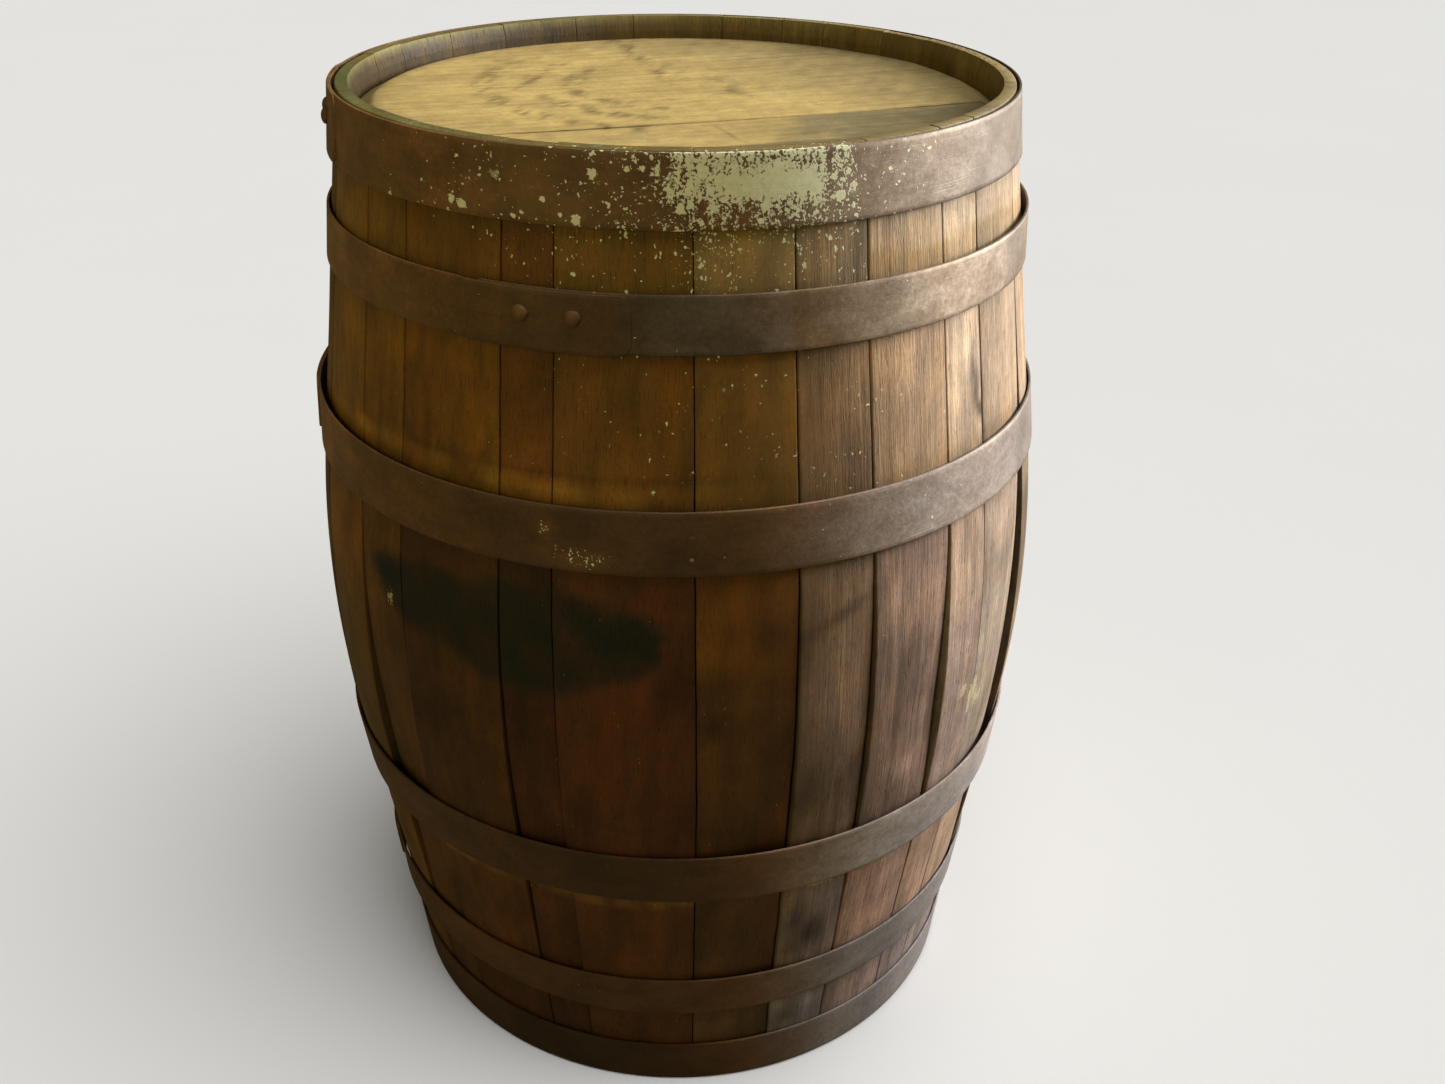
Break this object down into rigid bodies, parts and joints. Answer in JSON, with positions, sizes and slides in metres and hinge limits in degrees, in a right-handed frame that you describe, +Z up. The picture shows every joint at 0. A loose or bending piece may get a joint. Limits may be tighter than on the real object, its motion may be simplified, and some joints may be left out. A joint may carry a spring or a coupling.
{
  "type": "wine barrel",
  "caption": "Standing oak cask of bowed staves with recessed boarded heads, riveted steel hoops and a pull-out side bung.",
  "frame": {"origin": "centre of the bottom end, on the plane of the stave ends that the barrel stands on", "axes": "+Z up along the barrel's axis, +Y out through the bung hole, -Y the side opposite the bung"},
  "size_m": [0.6598, 0.6596, 0.88],
  "materials": {
    "stave_oak": "weathered, bare",
    "head_oak": "dry, planed, bare",
    "dowel_wood": "bare",
    "bung_wood": "bare end grain",
    "hoop_steel": "rusted, dull",
    "rivet_steel": "rusted, dull"
  },
  "bodies": {
    "barrel": {"stave_01": "stave_oak", "stave_02": "stave_oak", "stave_03": "stave_oak", "stave_04": "stave_oak", "stave_05": "stave_oak", "stave_06": "stave_oak", "stave_07": "stave_oak", "stave_08": "stave_oak", "stave_09": "stave_oak", "stave_10": "stave_oak", "stave_11": "stave_oak", "stave_12": "stave_oak", "stave_13": "stave_oak", "stave_14": "stave_oak", "stave_15": "stave_oak", "stave_16": "stave_oak", "stave_17": "stave_oak", "stave_18": "stave_oak", "stave_19": "stave_oak", "stave_20": "stave_oak", "stave_21": "stave_oak", "stave_22": "stave_oak", "stave_23": "stave_oak", "stave_24": "stave_oak", "stave_25": "stave_oak", "bung_stave": "stave_oak", "top_head_board_1": "head_oak", "top_head_board_2": "head_oak", "top_head_board_3": "head_oak", "top_head_board_4": "head_oak", "top_head_board_5": "head_oak", "bottom_head_board_1": "head_oak", "bottom_head_board_2": "head_oak", "bottom_head_board_3": "head_oak", "bottom_head_board_4": "head_oak", "bottom_head_board_5": "head_oak", "bottom_head_board_6": "head_oak", "top_head_dowels": "dowel_wood", "bottom_head_dowels": "dowel_wood", "top_head_hoop": "hoop_steel", "top_quarter_hoop": "hoop_steel", "top_bilge_hoop": "hoop_steel", "bottom_bilge_hoop": "hoop_steel", "bottom_quarter_hoop": "hoop_steel", "bottom_head_hoop": "hoop_steel", "top_head_hoop_rivets": "rivet_steel", "top_quarter_hoop_rivets": "rivet_steel", "top_bilge_hoop_rivets": "rivet_steel", "bottom_bilge_hoop_rivets": "rivet_steel", "bottom_quarter_hoop_rivets": "rivet_steel", "bottom_head_hoop_rivets": "rivet_steel"},
    "bung": {"bung": "bung_wood"}
  },
  "joints": [
    {"name": "bung_pull", "type": "slide", "parent": "barrel", "child": "bung", "axis": [0, 1, 0], "range_m": [0, 0.08]}
  ]
}
